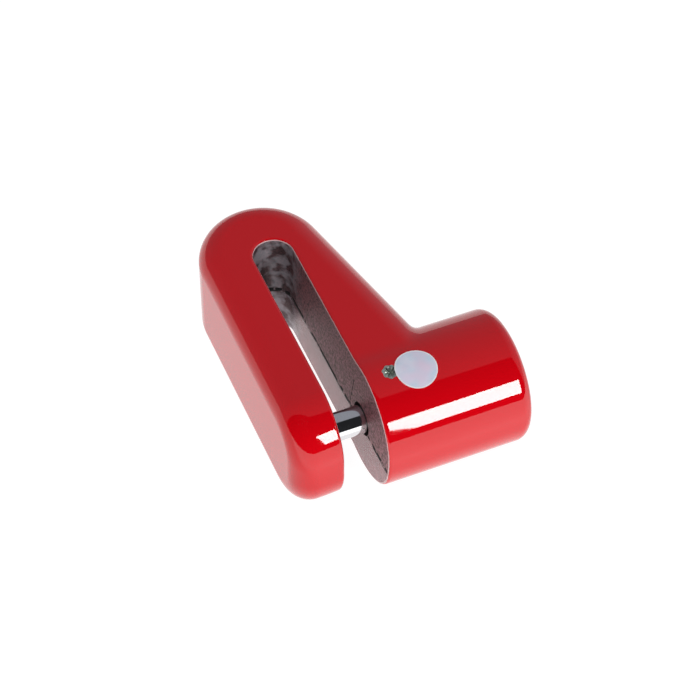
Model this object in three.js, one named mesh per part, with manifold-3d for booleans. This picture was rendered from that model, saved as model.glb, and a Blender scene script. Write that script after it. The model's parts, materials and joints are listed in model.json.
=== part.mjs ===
// Disc brake lock: a cast U-shaped body whose slot drops over a brake disc, with a push-in key
// cylinder that drives a hardened pin across the slot. Millimetres, +Z up, shown locked.
// The lock is laid out on the pin's axis: +X points out of the key end, +Y towards the slot's closed
// end, and the pin crosses the middle of the slot at X = Y = Z = 0. The last lines move the whole lock
// so that its origin is at the bottom centre of its bounding box.
import * as THREE from "three";
import { ConvexGeometry } from "three/addons/geometries/ConvexGeometry.js";
import { mergeVertices } from "three/addons/utils/BufferGeometryUtils.js";
import Module from "manifold-3d";

const wasm = await Module();
wasm.setup();
const rad = THREE.MathUtils.degToRad;

// ---- Driving dimensions, mm and degrees ----

// Clearances
const fixedGap = 0.05; // between pieces that are fixed to each other
const slideGap = 0.2; // round the core, and round the latch in its window
const turnGap = 0.15; // round the key plug
const endGap = 0.3; // between pieces that stack along X and move past each other

// Cast body
const slotWidth = 10; // at the upper face
const slotDraft = 1; // lean of each slot wall, away from the parting plane
const partingZ = -2.2; // where the two halves of the die met
const slotEndY = 43.3; // centre of the slot's round end
const crownRadius = 16.1; // outer arc round the slot's closed end
const crownX = -0.8; // centre of that arc
const crownOffset = 4.4; // that centre's distance past the slot's end centre
const faceInset = 0.8; // the flat faces lie this far inside the barrel's surface
const tipRadius = 13; // the free arm's rounded front, seen along X
const armEdge = 6; // rounding of the free arm's outer edges
const shoulderEdge = 8; // rounding of the shoulder that runs down to the barrel
const shoulderTaper = 13.25; // the shoulder's lean from the slot's direction
const barrelWall = 4.5;
const barrelEdge = 3; // rounding of the key end's rim

// Bore of the barrel
const boreDiameter = 24;
const frontWall = 3; // between the slot and the bush
const bushWall = 4.4;
const bushLength = 6;
const mouthChamfer = 0.6;
const faceRecess = 0.9; // how far the pushed-in core stands inside the key end

// Locking pin
const pinDiameter = 7;
const pinEngagement = 4.6; // the locked pin's reach into the free arm
const pinWindowGap = 0.8; // round the pin where it comes out of the barrel
const pinSocketGap = 0.35; // round the pin in the free arm's blind socket
const pinSocketSpace = 1; // beyond the pin's tip
const pinTipChamfer = 0.8;
const pinHeadRim = 1.7; // how far the head stands out of the pin
const pinHeadThickness = 1.15;
const circlipThickness = 0.8;
const circlipRim = 1.4; // how far the circlip stands out of the pin
const circlipGrooveDepth = 0.4;

// Core, which is pushed in to lock
const springSpace = 5; // between the bush and the locked core
const coreFrontWall = 3;
const capThickness = 0.8;
const capSkirt = 3;
const capWall = 0.4;

// Key plug
const plugDiameter = 13.7;
const plugRearWall = 1.6; // behind the keyway
const plugHeadLength = 4.8; // in front of the last wafer
const plugFlangeRim = 1.35; // how far the flange stands out of the plug
const plugFlangeThickness = 1;
const dialDiameter = 11;
const dialThickness = 0.9;
const keywayWidth = 2.2;
const keywayHeight = 8;
const keywayRim = 0.1; // the dial's slot is this much larger all round

// Wafers
const waferCount = 5;
const waferPitch = 1.9;
const firstWaferOffset = 1.2; // from the keyway's inner end
const waferThickness = 0.8;
const waferWidth = 6;
const waferTravel = 0.7;
const waferReach = 0.55; // how far a wafer stands out of the plug with no key in
const waferSlack = 0.15; // each side of a wafer in its slot
const waferFloorWall = 0.9; // between the slot's closed side and the plug's surface
const waferWindowGap = 0.3; // round the key blade
const waferSpringLength = 1.5;
const waferSpringRadius = 0.36;
const waferSpringWire = 0.2;

// Latch, which holds the core in and is drawn back by a crank pin on the plug
const latchThickness = 1.4;
const latchWidth = 5;
const latchTravel = 1.6; // also the crank pin's throw
const latchFootWidth = 8;
const latchFootBelow = 3.4; // the foot's reach below the axis
const latchFootAbove = 4.5; // and above it
const latchPocketWall = 1.6; // between the spring's pocket and the core's surface
const latchSpringRadius = 0.75;
const latchSpringWire = 0.3;
const crankDiameter = 1.8;

// Keyway shutter
const shutterPinDiameter = 0.6;
const shutterPinLength = 10.4;
const shutterHingeDepth = 0.7; // behind the plug's face
const shutterHingeOffset = 0.5; // beside the keyway
const shutterLength = 7.6;
const shutterThickness = 0.4;
const shutterWidth = 2.85; // from the hinge to the free edge
const knuckleDiameter = 1.1;
const knuckleLength = 3;
const shutterSpringLength = 2;
const shutterSpringRadius = 0.47;
const shutterSpringWire = 0.18;

// Small fixed pieces
const bushPinDiameter = 3.4;
const bushPinDepth = 2; // into the bush
const bushPinLean = 6; // from the top, towards -Y
const stopPinDiameter = 2.4;
const stopPinDepth = 1.9; // into the core's groove
const stopPinSetback = 1.5; // from the face cap's skirt to the pin's centre
const pinHeadSink = 0.05; // staked heads end this far below the barrel's surface
const labelDiameter = 10.3;
const labelX = 17;
const labelLean = 10.3; // from the top, towards -Y
const labelThickness = 0.2;
const mouthSealWire = 1.2;
const pinSealWire = 1;
const sealSideGap = 0.1; // each side of a seal in its groove
const returnSpringWire = 0.9;
const returnSpringSpace = 1.5; // from the circlip's rim to the middle of the wire

// ---- Derived sizes ----
const boreR = boreDiameter / 2;
const barrelR = boreR + barrelWall;
const slabHalf = barrelR - faceInset;
const draftTan = Math.tan(rad(slotDraft));
const slotHalfWidth = slotWidth / 2;
const partingHalfWidth = slotHalfWidth - (slabHalf - partingZ) * draftTan;
const crownY = slotEndY + crownOffset;
const armOuterX = crownX - crownRadius;
const pinR = pinDiameter / 2;
const pinReach = slotHalfWidth + pinEngagement;
const coreTravel = pinReach + slotHalfWidth - 0.1; // leaves the drawn-back pin just inside the wall
const coreR = boreR - slideGap;
const plugR = plugDiameter / 2;
const plugBoreR = plugR + turnGap;
const plugFlangeR = plugR + plugFlangeRim;
const bushR = pinR + 2 * fixedGap + bushWall;
const latchSpringLength = coreR - latchPocketWall - latchFootBelow;

// Stations along X, from the slot to the key end
const bushX = slotHalfWidth + frontWall;
const boreFloorX = bushX + bushLength;
const coreFrontX = boreFloorX + springSpace;
const coreWallBackX = coreFrontX + coreFrontWall;
const pinHeadX = coreWallBackX + fixedGap;
const latchX = pinHeadX + pinHeadThickness + endGap;
const latchMidX = latchX + latchThickness / 2;
const plugRearX = latchX + latchThickness + endGap;
const keywayFloorX = plugRearX + plugRearWall;
const firstWaferX = keywayFloorX + firstWaferOffset;
const waferXs = Array.from({ length: waferCount }, (_, i) => firstWaferX + i * waferPitch);
const plugFaceX = waferXs[waferCount - 1] + plugHeadLength;
const coreBackX = plugFaceX + slideGap;
const capInnerX = coreBackX + 2 * fixedGap;
const capFaceX = capInnerX + capThickness;
const capSkirtX = capInnerX - capSkirt;
const barrelEndX = capFaceX + faceRecess;
const mouthSealX = capFaceX - mouthSealWire / 2;
const bushMidX = bushX + bushLength / 2;
const stopPinX = capSkirtX - stopPinSetback;
const shutterHingeX = plugFaceX - shutterHingeDepth;
const shutterHingeY = -keywayWidth / 2 - shutterHingeOffset;

// ---- Solid helpers ----
const solid = (geometry) => {
  const bare = geometry.clone();
  bare.deleteAttribute("normal");
  bare.deleteAttribute("uv");
  const merged = mergeVertices(bare, 1e-4);
  return new wasm.Manifold(
    new wasm.Mesh({
      numProp: 3,
      vertProperties: new Float32Array(merged.attributes.position.array),
      triVerts: new Uint32Array(merged.index.array),
    }),
  );
};
const geometryOf = (body) => {
  const mesh = body.getMesh();
  return new THREE.BufferGeometry()
    .setAttribute("position", new THREE.BufferAttribute(new Float32Array(mesh.vertProperties), 3))
    .setIndex(new THREE.BufferAttribute(new Uint32Array(mesh.triVerts), 1));
};
const join = (first, ...rest) => rest.reduce((sum, next) => sum.add(next), first);
const cut = (first, ...rest) => rest.reduce((left, next) => left.subtract(next), first);

// A closed profile of [x, radius] points turned about the X axis.
const turned = (profile, sides) => {
  const points = profile.map(([x, radius]) => new THREE.Vector2(radius, x));
  return solid(new THREE.LatheGeometry(points, sides).rotateZ(-Math.PI / 2));
};
const rod = (x0, x1, radius, sides = 40) =>
  turned([[x0, 0], [x0, radius], [x1, radius], [x1, 0]], sides);
const tube = (x0, x1, inner, outer, sides = 40) =>
  turned([[x0, inner], [x0, outer], [x1, outer], [x1, inner], [x0, inner]], sides);
const block = (x0, x1, y0, y1, z0, z1) => {
  const box = new THREE.BoxGeometry(x1 - x0, y1 - y0, z1 - z0);
  return solid(box.translate((x0 + x1) / 2, (y0 + y1) / 2, (z0 + z1) / 2));
};
// A block centred on the XY and XZ planes, given by its half width and half height.
const barOnAxis = (x0, x1, halfY, halfZ) => block(x0, x1, -halfY, halfY, -halfZ, halfZ);
// A rod across the barrel from radius r0 to r1, leaned from +Z towards -Y.
const crossRod = (x, lean, r0, r1, radius, sides = 24) => {
  const geometry = new THREE.CylinderGeometry(radius, radius, r1 - r0, sides).rotateX(Math.PI / 2);
  return solid(geometry.translate(0, 0, (r0 + r1) / 2).rotateX(rad(lean)).translate(x, 0, 0));
};
// A rod along Z, given by its middle.
const upright = (radius, length, sides, x = 0, y = 0) =>
  solid(new THREE.CylinderGeometry(radius, radius, length, sides).rotateX(Math.PI / 2).translate(x, y, 0));
const sealRing = (radius, wire) =>
  new THREE.TorusGeometry(radius + wire / 2, wire / 2, 6, 32).rotateY(Math.PI / 2);

// A coil spring that starts at the origin and runs along X, as a wire swept along a helix.
class Helix extends THREE.Curve {
  constructor(length, radius, wire, turns) {
    super();
    Object.assign(this, { length, radius, wire, turns });
  }
  getPoint(t, target = new THREE.Vector3()) {
    const angle = 2 * Math.PI * this.turns * t;
    const x = this.wire / 2 + (this.length - this.wire) * t;
    return target.set(x, this.radius * Math.cos(angle), this.radius * Math.sin(angle));
  }
}
const coilSpring = (length, radius, wire, turns, stepsPerTurn = 7) => {
  const section = new THREE.Shape();
  section.absarc(0, 0, wire / 2, 0, 2 * Math.PI);
  const path = new Helix(length, radius, wire, turns);
  const options = { steps: turns * stepsPerTurn, curveSegments: 3, extrudePath: path };
  return new THREE.ExtrudeGeometry(section, options);
};

// ---- Materials ----
const surface = (color, roughness, metalness) =>
  new THREE.MeshStandardMaterial({ color, roughness, metalness });
const redPaint = surface(0xb0141f, 0.25, 0.1);
const chrome = surface(0xd8dadc, 0.12, 1);
const zincAlloy = surface(0x9c9a98, 0.4, 1);
const stainless = surface(0xb9bbbd, 0.3, 1);
const brass = surface(0xb98f45, 0.35, 1);
const springSteel = surface(0x70757a, 0.35, 1);
const rubber = surface(0x1a1a1a, 0.7, 0);
const labelFilm = surface(0xc4d2e4, 0.3, 0.2);

const piece = (name, shape, material, x = 0, y = 0, z = 0) => {
  const geometry = shape.isBufferGeometry ? shape : geometryOf(shape);
  const mesh = new THREE.Mesh(geometry, material);
  mesh.name = name;
  mesh.position.set(x, y, z);
  return mesh;
};

// ---- Cast body ----

// Points of an edge rounding about a centre, from direction a to direction b.
const roundedEdge = (centre, radius, a, b, steps = 4) =>
  Array.from({ length: steps + 1 }, (_, i) => {
    const angle = (Math.PI / 2) * (i / steps);
    const point = centre.clone().addScaledVector(a, radius * Math.cos(angle));
    return point.addScaledVector(b, radius * Math.sin(angle));
  });

// One hull holds both arms and the crown: the slot is cut from it afterwards, and its lower right
// corner lies inside the barrel.
const armsAndCrown = () => {
  const points = [];
  const sides = [1, -1];
  const crownSteps = 16;
  for (let i = 0; i <= crownSteps; i++) {
    const share = i / crownSteps;
    const angle = rad(THREE.MathUtils.lerp(shoulderTaper, 180, share));
    const edge = THREE.MathUtils.lerp(shoulderEdge, armEdge, share);
    const out = new THREE.Vector3(Math.cos(angle), Math.sin(angle), 0);
    for (const side of sides) {
      const centre = new THREE.Vector3(crownX, crownY, side * (slabHalf - edge));
      centre.addScaledVector(out, crownRadius - edge);
      points.push(...roundedEdge(centre, edge, out, new THREE.Vector3(0, 0, side)));
    }
  }
  const tipSteps = 8;
  for (let i = 0; i <= tipSteps; i++) {
    const angle = (Math.PI / 2) * (i / tipSteps);
    for (const side of sides) {
      const out = new THREE.Vector3(0, -Math.sin(angle), side * Math.cos(angle));
      const pivot = new THREE.Vector3(0, 0, side * (slabHalf - tipRadius));
      points.push(pivot.clone().addScaledVector(out, tipRadius));
      const centre = pivot.addScaledVector(out, tipRadius - armEdge).setX(armOuterX + armEdge);
      points.push(...roundedEdge(centre, armEdge, out, new THREE.Vector3(-1, 0, 0)));
    }
  }
  // The shoulder's foot, where the flat faces run into the barrel.
  const footY = 0.95 * Math.sqrt(barrelR ** 2 - slabHalf ** 2);
  const lean = rad(shoulderTaper);
  const out = new THREE.Vector3(Math.cos(lean), Math.sin(lean), 0);
  for (const side of sides) {
    const centre = new THREE.Vector3(crownX, crownY, side * (slabHalf - shoulderEdge));
    centre.addScaledVector(out, crownRadius - shoulderEdge);
    const run = (centre.y - footY) / Math.cos(lean);
    centre.add(new THREE.Vector3(Math.sin(lean), -Math.cos(lean), 0).multiplyScalar(run));
    points.push(...roundedEdge(centre, shoulderEdge, out, new THREE.Vector3(0, 0, side)));
  }
  return solid(new ConvexGeometry(points));
};

const barrel = () => {
  const steps = 4;
  const rim = Array.from({ length: steps + 1 }, (_, i) => {
    const angle = (Math.PI / 2) * (i / steps);
    const x = barrelEndX - barrelEdge + barrelEdge * Math.sin(angle);
    return [x, barrelR - barrelEdge + barrelEdge * Math.cos(angle)];
  });
  return turned([[0, 0], [0, barrelR], ...rim, [barrelEndX, 0]], 72);
};

// The slot above (side 1) or below (side -1) the parting plane: it widens towards the face.
const slotPart = (side) => {
  const openY = -barrelR - 4;
  const farZ = side * (slabHalf + 4);
  const farHalfWidth = partingHalfWidth + Math.abs(farZ - partingZ) * draftTan;
  const steps = 12;
  const points = [];
  for (const [z, half] of [[partingZ, partingHalfWidth], [farZ, farHalfWidth]]) {
    points.push(new THREE.Vector3(half, openY, z), new THREE.Vector3(-half, openY, z));
    for (let i = 0; i <= steps; i++) {
      const angle = (Math.PI * i) / steps;
      points.push(new THREE.Vector3(half * Math.cos(angle), slotEndY + half * Math.sin(angle), z));
    }
  }
  return solid(new ConvexGeometry(points));
};

// The blind hole in the free arm that the locked pin enters.
const pinSocket = () => {
  const radius = pinR + pinSocketGap;
  const floorX = -pinReach - pinSocketSpace;
  return turned([[floorX - radius / 2, 0], [floorX, radius], [0, radius], [0, 0]], 32);
};

const bushPinHole = () => {
  const radius = bushPinDiameter / 2 + fixedGap;
  return crossRod(bushMidX, bushPinLean, bushR - bushPinDepth - fixedGap, barrelR + 2, radius);
};

const lockBody = () => {
  const sealR = coreR + 2 * fixedGap + mouthSealWire;
  const sealHalf = mouthSealWire / 2 + sealSideGap;
  const chamferX = barrelEndX - mouthChamfer;
  const past = 1; // the cutters run this far past the faces that they cut
  const mouthR = boreR + mouthChamfer + past;
  const latchGap = 2 * slideGap;
  return cut(
    join(armsAndCrown(), barrel()),
    slotPart(1),
    slotPart(-1),
    pinSocket(),
    rod(0, bushX + past, pinR + pinWindowGap, 32),
    rod(bushX, boreFloorX + past, bushR + fixedGap),
    rod(boreFloorX, barrelEndX + past, boreR),
    turned([[chamferX, 0], [chamferX, boreR], [barrelEndX + past, mouthR], [barrelEndX + past, 0]], 40),
    tube(mouthSealX - sealHalf, mouthSealX + sealHalf, boreR - past, sealR),
    // the groove that the latch's nose runs in
    block(
      latchX - latchGap,
      latchX + latchThickness + coreTravel + latchGap,
      boreR - past,
      coreR + latchTravel + latchGap,
      -latchWidth / 2 - latchGap,
      latchWidth / 2 + latchGap,
    ),
    bushPinHole(),
    crossRod(stopPinX, 180, boreR - past, barrelR + past, stopPinDiameter / 2 + fixedGap),
  );
};

// ---- Pieces fixed in the body ----
const guideBush = () => {
  const grooveHalf = pinSealWire / 2 + sealSideGap;
  return cut(
    tube(bushX + fixedGap, boreFloorX - fixedGap, pinR + 2 * fixedGap, bushR),
    tube(bushMidX - grooveHalf, bushMidX + grooveHalf, pinR, pinR + pinSealWire + 2 * fixedGap, 36),
    bushPinHole(),
  );
};
const bushPin = () =>
  crossRod(bushMidX, bushPinLean, bushR - bushPinDepth, barrelR - pinHeadSink, bushPinDiameter / 2);
const stopPin = () =>
  crossRod(stopPinX, 180, coreR - stopPinDepth, barrelR - pinHeadSink, stopPinDiameter / 2);
// The label is bent round the barrel.
const roundLabel = () => {
  const innerR = barrelR + fixedGap;
  const wrap = tube(0, barrelEndX, innerR, innerR + labelThickness, 120);
  return wrap.intersect(crossRod(labelX, labelLean, boreR, barrelR + 3, labelDiameter / 2, 36));
};

// ---- Core ----

// The window that the latch's nose slides through.
const latchWindow = () => {
  const halfZ = latchWidth / 2 + slideGap;
  return block(latchX - slideGap, latchX + latchThickness + slideGap, 0, boreR + 2, -halfZ, halfZ);
};
// The blind pocket behind the latch's foot that its spring stands in.
const latchSpringPocket = () => {
  const radius = latchSpringRadius + latchSpringWire / 2 + turnGap;
  const floorY = -latchFootBelow - latchSpringLength - fixedGap;
  const length = -latchFootBelow - 1 - floorY;
  const hole = new THREE.CylinderGeometry(radius, radius, length, 20);
  return solid(hole.translate(latchMidX, floorY + length / 2, 0));
};
// The groove that the stop pin runs in, as long as the core's travel.
const stopGroove = () => {
  const half = stopPinDiameter / 2 + slideGap;
  const bottomZ = stopPinDepth + slideGap - coreR;
  return block(stopPinX - coreTravel - half, stopPinX + half, -half, half, -coreR - 1, bottomZ);
};
const coreShell = () =>
  cut(
    rod(coreFrontX, coreBackX, coreR),
    rod(coreFrontX - 1, coreWallBackX + 1, pinR + fixedGap),
    rod(coreWallBackX, coreBackX + 1, plugBoreR),
    // relief round the wafers' tips
    tube(
      waferXs[0] - waferThickness,
      waferXs[waferCount - 1] + waferThickness,
      plugR,
      plugR + waferReach + slideGap,
    ),
    rod(plugFaceX - plugFlangeThickness - slideGap, coreBackX + 1, plugFlangeR + turnGap),
    tube(capSkirtX - slideGap, coreBackX + 1, coreR - capWall - turnGap, coreR + 1),
    latchWindow(),
    latchSpringPocket(),
    stopGroove(),
  );

const grooveR = pinR - circlipGrooveDepth;
const circlipX = coreFrontX - fixedGap - circlipThickness;
const lockingPin = () => {
  const headR = pinR + pinHeadRim;
  const headBackX = pinHeadX + pinHeadThickness;
  const profile = [
    [-pinReach, 0],
    [-pinReach, pinR - pinTipChamfer],
    [-pinReach + pinTipChamfer, pinR],
    [circlipX - fixedGap, pinR],
    [circlipX - fixedGap, grooveR],
    [coreFrontX, grooveR],
    [coreFrontX, pinR],
    [pinHeadX, pinR],
    [pinHeadX, headR],
    [headBackX, headR],
    [headBackX, 0],
  ];
  return turned(profile, 48);
};
// An open ring that snaps into the pin's groove.
const pinCirclip = () => {
  const outerR = pinR + circlipRim;
  const opening = block(circlipX - 1, coreFrontX + 1, -grooveR / 2, grooveR / 2, -outerR - 1, 0);
  return tube(circlipX, circlipX + circlipThickness, grooveR + fixedGap, outerR, 36).subtract(opening);
};

const faceCap = () =>
  cut(
    rod(capSkirtX, capFaceX, coreR),
    rod(capSkirtX - 1, capInnerX, coreR - capWall),
    rod(capInnerX - 1, capFaceX + 1, dialDiameter / 2 + turnGap),
  );

// ---- Key plug ----
const keywayCut = (x0, x1, rim = 0) => barOnAxis(x0, x1, keywayWidth / 2 + rim, keywayHeight / 2 + rim);
const waferFloor = plugR - waferFloorWall;
const waferBottom = waferFloor - fixedGap - waferSpringLength;

// Wafers stand up and down by turns.
const waferSide = (i) => (i % 2 ? -1 : 1);
const waferSlot = (x, side) => {
  const halfX = waferThickness / 2 + waferSlack;
  const halfY = waferWidth / 2 + waferSlack;
  const ends = [side * (plugR + 1), -side * waferFloor];
  return block(x - halfX, x + halfX, -halfY, halfY, Math.min(...ends), Math.max(...ends));
};
// The recess that the shutter turns in, and the pocket beside the keyway that it swings back into.
const shutterRecess = () => {
  const knuckleRoom = knuckleDiameter / 2 + turnGap;
  const halfZ = shutterLength / 2 + slideGap;
  const nearY = shutterHingeY - knuckleRoom;
  const farY = shutterHingeY + shutterWidth + slideGap;
  const pocketX = shutterHingeX - shutterWidth - slideGap;
  // The free edge is back over the keyway by the time it is half its width deep.
  const recessX = shutterHingeX - shutterWidth / 2;
  return join(
    block(recessX, plugFaceX + 1, nearY, farY, -halfZ, halfZ),
    block(pocketX, plugFaceX, nearY, 0, -halfZ, halfZ),
  );
};
const keyPlug = () => {
  const crankX = latchX + slideGap;
  const crankLength = plugRearX + 1 - crankX;
  const crank = new THREE.CylinderGeometry(crankDiameter / 2, crankDiameter / 2, crankLength, 16);
  const hingeHoleR = shutterPinDiameter / 2 + fixedGap;
  return cut(
    join(
      rod(plugRearX, plugFaceX, plugR),
      rod(plugFaceX - plugFlangeThickness, plugFaceX, plugFlangeR),
      solid(crank.rotateZ(Math.PI / 2).translate(crankX + crankLength / 2, latchTravel, 0)),
    ),
    keywayCut(keywayFloorX, plugFaceX + 1),
    ...waferXs.map((x, i) => waferSlot(x, waferSide(i))),
    shutterRecess(),
    upright(hingeHoleR, shutterPinLength + 2 * slideGap, 16, shutterHingeX, shutterHingeY),
  );
};
// The small disc in front of the plug, with the keyhole, that fills the cap's opening.
const keyholeDial = () => {
  const backX = plugFaceX + 2 * fixedGap;
  return rod(backX, backX + dialThickness, dialDiameter / 2).subtract(
    keywayCut(backX - 1, backX + dialThickness + 1, keywayRim),
  );
};

// A wafer about its own middle, reaching along +Z, with a window for the key blade.
const wafer = () => {
  const half = waferThickness / 2;
  const tipR = plugR + waferReach;
  const plate = block(-half, half, -waferWidth / 2, waferWidth / 2, -waferBottom, tipR);
  const windowY = keywayWidth / 2 + waferWindowGap;
  const windowZ = keywayHeight / 2 + waferWindowGap;
  return cut(
    plate.intersect(rod(-half - 1, half + 1, tipR)),
    block(-1, 1, -windowY, windowY, waferTravel - windowZ, waferTravel + windowZ),
  );
};

// The shutter's parts are drawn about its hinge.
const shutterFlap = () => {
  const halfX = shutterThickness / 2;
  const halfZ = shutterLength / 2;
  const springRoom = shutterSpringRadius + shutterSpringWire + turnGap;
  return cut(
    block(-halfX, halfX, 0, shutterWidth, -halfZ, halfZ),
    block(-1, 1, -1, springRoom, knuckleLength / 2, halfZ + 1),
    block(-1, 1, -1, springRoom, -halfZ - 1, -knuckleLength / 2),
  )
    .add(upright(knuckleDiameter / 2, knuckleLength, 16))
    .subtract(upright(shutterPinDiameter / 2 + fixedGap, knuckleLength + 2, 16));
};

// ---- Latch ----

// The crank moves the latch by a cosine, and the slot is longer by what that leaves an even motion.
const latchBolt = () => {
  const crankDrift = 0.21 * latchTravel;
  const crankRoom = crankDiameter / 2 + turnGap;
  const backX = latchX + latchThickness;
  const footHalf = latchFootWidth / 2;
  const noseHalf = latchWidth / 2;
  return cut(
    join(
      block(latchX, backX, -latchFootBelow, latchFootAbove, -footHalf, footHalf),
      block(latchX, backX, 0, coreR + latchTravel, -noseHalf, noseHalf),
    ),
    block(
      latchX - 1,
      backX + 1,
      latchTravel - crankRoom,
      latchTravel + crankDrift + crankRoom,
      -crankRoom,
      latchTravel + crankRoom,
    ),
  );
};

// ---- Assembly ----
const returnSpringR = pinR + circlipRim + returnSpringSpace;
const lock = new THREE.Group();
const core = new THREE.Group();
const plug = new THREE.Group();
lock.add(
  piece("lock_body", lockBody(), redPaint),
  piece("guide_bush", guideBush(), zincAlloy),
  piece("bush_pin", bushPin(), zincAlloy),
  piece("stop_pin", stopPin(), zincAlloy),
  piece("pin_seal", sealRing(pinR + fixedGap, pinSealWire), rubber, bushMidX),
  piece("mouth_seal", sealRing(coreR + fixedGap, mouthSealWire), rubber, mouthSealX),
  piece("round_label", roundLabel(), labelFilm),
  piece(
    "return_spring",
    coilSpring(springSpace - 2 * fixedGap, returnSpringR, returnSpringWire, 4, 14),
    springSteel,
    boreFloorX + fixedGap,
  ),
  core,
);
const latchSpring = coilSpring(latchSpringLength - fixedGap, latchSpringRadius, latchSpringWire, 5);
core.add(
  piece("core_shell", coreShell(), zincAlloy),
  piece("locking_pin", lockingPin(), chrome),
  piece("pin_circlip", pinCirclip(), springSteel),
  piece("face_cap", faceCap(), stainless),
  piece("latch_bolt", latchBolt(), zincAlloy),
  piece(
    "latch_spring",
    latchSpring.rotateZ(Math.PI / 2),
    springSteel,
    latchMidX,
    -latchFootBelow - latchSpringLength,
  ),
  plug,
);
const shutterSpring = coilSpring(shutterSpringLength, shutterSpringRadius, shutterSpringWire, 4);
plug.add(
  piece("key_plug", keyPlug(), brass),
  piece("keyhole_dial", keyholeDial(), stainless),
  piece(
    "shutter_pin",
    upright(shutterPinDiameter / 2, shutterPinLength, 12),
    springSteel,
    shutterHingeX,
    shutterHingeY,
  ),
  piece("shutter_flap", shutterFlap(), stainless, shutterHingeX, shutterHingeY),
  piece(
    "shutter_spring",
    shutterSpring.rotateY(-Math.PI / 2),
    springSteel,
    shutterHingeX,
    shutterHingeY,
    knuckleLength / 2 + fixedGap,
  ),
);
waferXs.forEach((x, i) => {
  const plate = piece(`wafer_${i + 1}`, wafer(), brass, x);
  plate.rotation.x = waferSide(i) > 0 ? 0 : Math.PI;
  const spring = coilSpring(waferSpringLength - fixedGap, waferSpringRadius, waferSpringWire, 3);
  spring.rotateY(-Math.PI / 2);
  const springZ = waferSide(i) > 0 ? fixedGap - waferFloor : waferFloor - waferSpringLength;
  plug.add(plate, piece(`wafer_spring_${i + 1}`, spring, springSteel, x, 0, springZ));
});

// The origin goes to the bottom centre of the bounding box.
lock.updateMatrixWorld(true);
const bounds = new THREE.Box3().setFromObject(lock);
const middle = bounds.getCenter(new THREE.Vector3());
lock.position.set(-middle.x, -middle.y, -bounds.min.z);

export default lock;
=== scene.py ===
"""Disc brake lock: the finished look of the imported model, laid out as a Blender add-on."""
import json
import math

import bmesh
import bpy
import numpy as np
from mathutils import Matrix, Vector


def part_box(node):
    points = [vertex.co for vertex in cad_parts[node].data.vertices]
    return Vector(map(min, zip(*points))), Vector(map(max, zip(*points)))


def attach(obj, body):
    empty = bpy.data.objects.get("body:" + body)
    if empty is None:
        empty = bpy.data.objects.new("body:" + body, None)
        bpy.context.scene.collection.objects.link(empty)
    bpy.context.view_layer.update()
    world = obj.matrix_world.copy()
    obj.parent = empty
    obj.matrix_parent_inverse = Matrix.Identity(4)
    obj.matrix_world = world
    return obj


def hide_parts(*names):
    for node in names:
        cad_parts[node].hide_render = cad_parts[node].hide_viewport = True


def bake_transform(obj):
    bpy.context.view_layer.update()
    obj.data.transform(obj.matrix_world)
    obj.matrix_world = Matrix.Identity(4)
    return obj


bl_info = {
    "name": "Disc brake lock",
    "version": (1, 0, 0),
    "blender": (4, 5, 0),
    "location": "View3D > Sidebar > Disc lock",
    "description": "Makes the visible pieces of a motorcycle disc brake lock round its packed model",
    "category": "Object",
}

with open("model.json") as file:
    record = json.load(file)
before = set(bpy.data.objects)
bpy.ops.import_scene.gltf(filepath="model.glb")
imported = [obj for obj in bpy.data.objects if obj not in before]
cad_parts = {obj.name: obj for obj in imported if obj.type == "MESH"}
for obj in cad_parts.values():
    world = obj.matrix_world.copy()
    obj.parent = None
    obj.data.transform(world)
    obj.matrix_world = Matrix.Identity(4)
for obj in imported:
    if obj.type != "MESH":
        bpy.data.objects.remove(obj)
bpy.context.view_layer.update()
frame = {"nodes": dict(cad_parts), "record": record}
MM = 0.001
ARM_OUTER = -16.9

body_low, body_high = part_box("lock_body")
pin_low, pin_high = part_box("locking_pin")
# The pin's axis crosses the middle of the slot here. Sizes below are in mm from this point,
# +X towards the key end and +Y towards the slot's closed end.
AXIS = Vector((
    body_low.x - ARM_OUTER * MM,
    (pin_low.y + pin_high.y) / 2,
    (pin_low.z + pin_high.z) / 2,
))
TO_ROW = Matrix.Translation(AXIS) @ Matrix.Scale(MM, 4)

BARREL_R = 16.5
BARREL_END = (body_high.x - AXIS.x) / MM
BARREL_EDGE = 3.0
SLAB_HALF = 15.7
TIP_R = 13.0
TIP_CROWN_R = 65.0
TIP_MIDDLE = -11.4
CROWN = (-0.8, 47.7)
CROWN_R = 16.1
TAPER = math.radians(13.25)
ARM_EDGE = 6.0
SHOULDER_EDGE = 8.0
SLOT_END = 43.3
PARTING_Z = -2.2
PARTING_HALF = 4.6875
DRAFT = math.tan(math.radians(1.0))
FILLET = 0.8
BORE_R = 12.0
PIN_R = 3.5
LABEL_X = 17.0
LABEL_LEAN = 10.3
LABEL_R = 5.05
STAKE_X = 11.0
STAKE_LEAN = math.radians(6)
PARTING_LINE_HALF = 0.7
SETTLE_ROUNDS = 6
MACHINED_DEPTH = 0.3  # mm from the casting's skin
MACHINED_TURN = 0.8  # cosine between a face and the skin beside it
OWN_NORMAL_TURN = 0.7
EYE = Vector((-131.24, -304.47, 419.50))
EYE_AXES = (
    Vector((0.92082, -0.38988, 0.00911)),
    Vector((0.29236, 0.70557, 0.64552)),
    Vector((-0.25810, -0.59175, 0.76369)),
)


# ---- Settings a user would change ----
def linear(code):
    """An sRGB hex colour as linear RGBA."""
    parts = [int(code[i:i + 2], 16) / 255 for i in (1, 3, 5)]
    return tuple(c / 12.92 if c <= 0.04045 else ((c + 0.055) / 1.055) ** 2.4 for c in parts) + (1.0,)


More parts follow.
